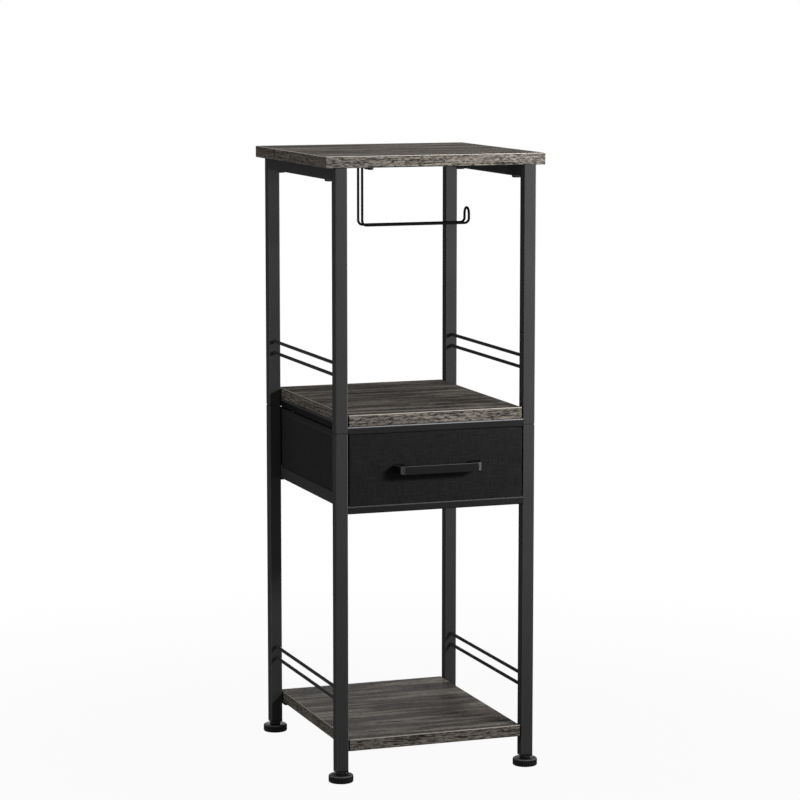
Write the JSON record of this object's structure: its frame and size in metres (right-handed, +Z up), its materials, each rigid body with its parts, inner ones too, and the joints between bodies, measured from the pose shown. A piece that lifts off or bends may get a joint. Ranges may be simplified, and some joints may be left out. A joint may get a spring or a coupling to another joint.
{
  "type": "toilet paper storage cabinet",
  "caption": "Slim bathroom stand of black square tube with wood-look boards, a sliding fabric drawer, side guard rods, a bent-wire paper-roll holder and levelling feet.",
  "frame": {"origin": "on the floor, in the middle of the overall footprint with the handle and feet", "axes": "+X to the right seen from the front, +Y towards the back, +Z up"},
  "size_m": [0.295, 0.33, 0.8],
  "materials": {
    "powder_coated_steel": "matte black powder coat on welded steel tube, rod and wire",
    "laminated_board": "charcoal grey-brown wood-grain laminate on particle board, grain from side to side",
    "drawer_fabric": "black plain-weave fabric over card",
    "fibreboard": "raw brown fibreboard",
    "handle_lacquer": "satin black lacquer",
    "black_plastic": "moulded black plastic, satin",
    "black_screw": "black oxide on steel screws",
    "zinc_plated_steel": "bright zinc plate"
  },
  "bodies": {
    "frame": {"top_board": "laminated_board", "middle_shelf": "laminated_board", "bottom_shelf": "laminated_board", "upper_leg_front_left": "powder_coated_steel", "upper_leg_front_right": "powder_coated_steel", "upper_leg_rear_left": "powder_coated_steel", "upper_leg_rear_right": "powder_coated_steel", "lower_leg_front_left": "powder_coated_steel", "lower_leg_front_right": "powder_coated_steel", "lower_leg_rear_left": "powder_coated_steel", "lower_leg_rear_right": "powder_coated_steel", "leg_joiners": "powder_coated_steel", "leg_plugs": "black_plastic", "bottom_shelf_tabs": "powder_coated_steel", "top_rail_left": "powder_coated_steel", "top_rail_right": "powder_coated_steel", "shelf_rail_front": "powder_coated_steel", "shelf_rail_rear": "powder_coated_steel", "shelf_bearer_left": "powder_coated_steel", "shelf_bearer_right": "powder_coated_steel", "runner_rail_front": "powder_coated_steel", "runner_rail_rear": "powder_coated_steel", "drawer_runner_left": "powder_coated_steel", "drawer_runner_right": "powder_coated_steel", "upper_guard_rod_left_low": "powder_coated_steel", "upper_guard_rod_left_high": "powder_coated_steel", "upper_guard_rod_right_low": "powder_coated_steel", "upper_guard_rod_right_high": "powder_coated_steel", "lower_guard_rod_left_low": "powder_coated_steel", "lower_guard_rod_left_high": "powder_coated_steel", "lower_guard_rod_right_low": "powder_coated_steel", "lower_guard_rod_right_high": "powder_coated_steel", "top_board_screws": "black_screw", "middle_shelf_screws": "black_screw", "bottom_shelf_screws": "black_screw", "paper_holder_plate": "powder_coated_steel", "paper_holder_wire": "powder_coated_steel", "paper_holder_screws": "black_screw"},
    "drawer": {"drawer_front_cover": "drawer_fabric", "drawer_front_board": "fibreboard", "drawer_side_left": "drawer_fabric", "drawer_side_right": "drawer_fabric", "drawer_back": "drawer_fabric", "drawer_floor": "drawer_fabric", "drawer_base_board": "fibreboard", "drawer_handle": "handle_lacquer", "handle_screws": "zinc_plated_steel", "handle_washers": "zinc_plated_steel"},
    "foot_front_left": {"foot_pad_front_left": "black_plastic", "foot_stud_front_left": "zinc_plated_steel"},
    "foot_front_right": {"foot_pad_front_right": "black_plastic", "foot_stud_front_right": "zinc_plated_steel"},
    "foot_rear_left": {"foot_pad_rear_left": "black_plastic", "foot_stud_rear_left": "zinc_plated_steel"},
    "foot_rear_right": {"foot_pad_rear_right": "black_plastic", "foot_stud_rear_right": "zinc_plated_steel"}
  },
  "joints": [
    {"name": "drawer_slide", "type": "slide", "parent": "frame", "child": "drawer", "axis": [0, -1, 0], "range_m": [0, 0.2]},
    {"name": "foot_front_left_height", "type": "slide", "parent": "frame", "child": "foot_front_left", "axis": [0, 0, -1], "range_m": [0, 0.01]},
    {"name": "foot_front_right_height", "type": "slide", "parent": "frame", "child": "foot_front_right", "axis": [0, 0, -1], "range_m": [0, 0.01]},
    {"name": "foot_rear_left_height", "type": "slide", "parent": "frame", "child": "foot_rear_left", "axis": [0, 0, -1], "range_m": [0, 0.01]},
    {"name": "foot_rear_right_height", "type": "slide", "parent": "frame", "child": "foot_rear_right", "axis": [0, 0, -1], "range_m": [0, 0.01]}
  ]
}
